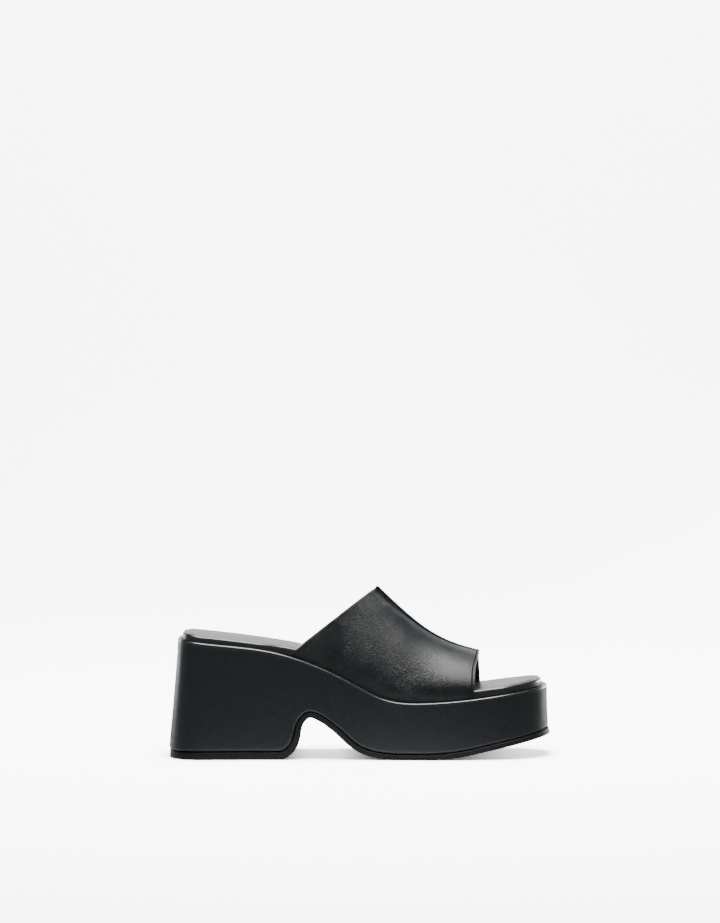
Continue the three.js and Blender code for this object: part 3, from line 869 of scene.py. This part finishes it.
def crease_depth(run, girth):
    """Troughs between low ridges: depth * (1 - u * u) * exp(-u * u / 2), u half widths from each line."""
    total = 0 * run
    for run_a, girth_a, run_b, girth_b, depth, half in creases:
        line = np.array([(run_b - run_a) * run_length, (girth_b - girth_a) * girth_length])
        x, y = (run - run_a) * run_length, (girth - girth_a) * girth_length
        share = np.clip((x * line[0] + y * line[1]) / (line @ line), 0, 1)
        u = np.hypot(x - share * line[0], y - share * line[1]) / half
        total = total + depth * (1 - u ** 2) * np.exp(-u ** 2 / 2)
    return total


near_crest = girth_beside(np.concatenate([np.linspace(0.02, 2.4, 20), np.linspace(2.7, 6, 8)]) * mm)
far_out = blend(near_crest[-1], 1, np.linspace(0, 1, 90)[1:] ** 0.85)
half_girth = np.concatenate([near_crest, far_out])
girth = np.concatenate([-half_girth[::-1], half_girth])


def upper_lift(run, girth, from_toe):
    """What the leather stands out over its plain form: seam and fold, less the creases."""
    return seam_rise(run, girth) + toe_fold(from_toe) - crease_depth(run, girth)


def wall_loop(columns, face, thickness, radius, collar_back, toe_back, rise):
    """A wall over the upper as loops (place on the loop, column, 3): along its face from the collar
    to the toe edge, round that edge, back along its inside and round the collar's edge.

    face is the depth of its outer face under the upper's, and the backs are its edges' set-backs."""
    runs = np.concatenate([np.linspace(0, 0.93, 130), np.linspace(0.93, 1, 42)[1:]])
    angles = np.linspace(0, math.pi, 9)[1:-1]
    g = columns[None, :]
    start, end = [vamp_point(np.zeros_like(g) + r, g) for r in (0.0, 1.0)]
    length = np.linalg.norm(end - start, axis=-1)

    def at(run, depth):
        forwards, outwards = vamp_axes(run, g + 0 * run)
        lift = rise * upper_lift(run, g + 0 * run, (1 - run) * length)
        return vamp_point(run, g + 0 * run) + outwards * (lift - depth)[..., None], forwards, outwards

    first = (collar_back + radius) / length
    last = 1 - (toe_back + radius) / length
    run_grid = first + (last - first) * runs[:, None]
    outside, _, _ = at(run_grid, face * np.ones_like(run_grid))
    inside, _, _ = at(run_grid[::-1], (face + thickness) * np.ones_like(run_grid))
    parts = [outside]
    for run_end, sign, order in ((last, 1, angles), (first, -1, angles[::-1])):
        centre, forwards, outwards = at(run_end, (face + thickness / 2) * np.ones_like(run_end))
        ring = [
            centre + forwards * sign * radius * math.sin(a) + outwards * thickness / 2 * math.cos(a)
            for a in order]
        parts.append(np.concatenate(ring))
        if sign == 1:
            parts.append(inside)
    loop = np.concatenate(parts)
    return np.concatenate([loop, loop[:1]])


def wall_piece(name, loop, materials):
    """A closed piece from wall loops, with both feet closed across the wall."""
    rows, columns = loop.shape[:2]
    faces = grid_faces(rows, columns)
    open_loop = np.arange(rows - 1)
    half = (rows - 1) // 2
    strips = []
    for column in (0, columns - 1):
        ring = open_loop * columns + column
        near, far = ring[:half], ring[::-1][:half]
        strips.append(np.stack([near[:-1], near[1:], far[1:], far[:-1]], -1))
    piece = new_object(name, loop.reshape(-1, 3), np.concatenate([faces, *strips]), materials)
    close_and_turn_out(piece)
    return piece


upper_leather, upper_shader = new_material("upper_leather", (0.006, 0.0078, 0.0088, 1.0), 0.3)
upper_grain = finish_piece(upper_leather, upper_shader, leather, {"Pebbles": 640.0}, (0.26, 0.34), 0.29 * mm)

# Stretched over the last, the grain lies flatter towards the toe.
flat_from, flat_to, flat_depth = 15 * mm, 60 * mm, 0.35
upper_tree = upper_leather.node_tree
upper_place = upper_tree.nodes.new("ShaderNodeTexCoord").outputs["Object"]
upper_split = upper_tree.nodes.new("ShaderNodeSeparateXYZ")
upper_tree.links.new(upper_place, upper_split.inputs["Vector"])
flatter = rescale(upper_tree, upper_split.outputs["X"], flat_from, flat_to, 1, flat_depth)
upper_tree.links.new(flatter, upper_grain.inputs["Pebble Depth"])
upper = wall_piece("upper_leather", wall_loop(girth, 0, leather_wall, edge_radius, 0, 0, 1), [upper_leather])
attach(upper, "root")
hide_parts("upper")

# Stitches: waxed black thread. Whip stitches hold the two halves together over the crest seam, and one
# straight row holds down the folded band at the toe edge.

stitch_pitch = 1.9 * mm
thread_radius = 0.28 * mm
stitch_half = 0.6 * mm
whip_reach = 1.35 * mm
whip_slant = 0.45 * mm
thread_sides = 6


def threads(name, paths, outwards, materials):
    """One closed tube along each path (thread, point, 3), thinner at both ends."""
    count, points = paths.shape[:2]
    forwards = unit(np.gradient(paths, axis=1))
    across = unit(np.cross(forwards, outwards))
    up = np.cross(across, forwards)
    share = np.linspace(-1, 1, points)
    size = thread_radius * np.sqrt(1 - share ** 6)[None, :, None, None]
    angle = np.arange(thread_sides)[None, None, :, None] * 2 * math.pi / thread_sides
    tube = paths[:, :, None] + size * (np.cos(angle) * across[:, :, None] + np.sin(angle) * up[:, :, None])
    ring = np.arange(points - 1)[:, None] * thread_sides
    side = np.arange(thread_sides)[None, :]
    a, b = ring + side, ring + (side + 1) % thread_sides
    quads = np.stack([a, b, b + thread_sides, a + thread_sides], -1).reshape(-1, 4)
    faces = (np.arange(count)[:, None, None] * points * thread_sides + quads).reshape(-1, 4)
    piece = new_object(name, tube.reshape(-1, 3), faces, materials)
    close_and_turn_out(piece)
    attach(piece, "root")
    return piece


def on_upper(run, girth, above):
    """Points of the upper's leather, a little above it, and its outward directions."""
    length = np.linalg.norm(vamp_point(0 * run + 1, girth) - vamp_point(0 * run, girth), axis=-1)
    outwards = vamp_axes(run, girth)[1]
    lift = upper_lift(run, girth, (1 - run) * length) + above
    return vamp_point(run, girth) + outwards * lift[..., None], outwards


fibre, fibre_in, fibre_out = new_group("thread_fibre", [("Fibres", 7000.0)], ["Height", "Gloss"])
place = fibre.nodes.new("ShaderNodeTexCoord").outputs["Object"]
fibre.links.new(add_noise(fibre, place, fibre_in.outputs["Fibres"], 2.0), fibre_out.inputs["Height"])
fibre.links.new(add_noise(fibre, place, 900.0, 2.0), fibre_out.inputs["Gloss"])
thread, thread_shader = new_material("stitch_thread", (0.0055, 0.006, 0.0065, 1.0), 0.6)
finish_piece(thread, thread_shader, fibre, {"Fibres": 7000.0}, (0.5, 0.62), 0.04 * mm)
thread_shader.inputs["Specular IOR Level"].default_value = 0.3

dense = np.linspace(-0.985, 0.985, 1600)
row_run = 1 - stitch_line / np.linalg.norm(
    vamp_point(0 * dense + 1, dense) - vamp_point(0 * dense, dense), axis=-1)
row = vamp_point(row_run, dense)
measure = np.concatenate([[0], np.cumsum(np.linalg.norm(np.diff(row, axis=0), axis=-1))])
centres = np.arange(stitch_pitch / 2, measure[-1] - stitch_half, stitch_pitch)
share = np.linspace(-1, 1, 7)
where = centres[:, None] + stitch_half * share[None, :]
stitch_girth = np.interp(where, measure, dense)
stitch_run = np.interp(where, measure, row_run)
above = thread_radius * (0.75 - 1.1 * share ** 4) + 0 * where
threads("toe_stitches", *on_upper(stitch_run, stitch_girth, above), [thread])

dense = np.linspace(0.012, 0.985, 1200)
crest = vamp_point(dense, 0 * dense)
measure = np.concatenate([[0], np.cumsum(np.linalg.norm(np.diff(crest, axis=0), axis=-1))])
centres = np.arange(stitch_pitch / 2, measure[-1], stitch_pitch)
beside = whip_reach * np.array([-1, -0.9, -0.78, -0.62, -0.3, 0, 0.3, 0.62, 0.78, 0.9, 1])
where = centres[:, None] + whip_slant * beside[None, :] / whip_reach
stitch_run = np.interp(where, measure, dense)
stitch_girth = np.sign(beside) * girth_beside(np.maximum(np.abs(beside), 0.01 * mm)) + 0 * where
above = thread_radius * (0.7 - 0.9 * (beside / whip_reach) ** 8) + 0 * where
threads("seam_stitches", *on_upper(stitch_run, stitch_girth, above), [thread])

# Lining: thin smooth leather inside the upper, cut a little short of both edges.

lining_gap = 0.05 * mm
lining_wall = 0.6 * mm
lining_back = 1.1 * mm

lining_leather, lining_shader = new_material("lining_leather", (0.014, 0.0135, 0.013, 1.0), 0.5)
finish_piece(
    lining_leather, lining_shader, leather,
    {"Pebbles": 1200.0, "Pebble Depth": 0.5}, (0.42, 0.55), 0.03 * mm)
lining = wall_piece(
    "upper_lining",
    wall_loop(girth, leather_wall + lining_gap, lining_wall, lining_wall / 2, lining_back, lining_back, 0),
    [lining_leather])
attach(lining, "root")
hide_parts("upper")
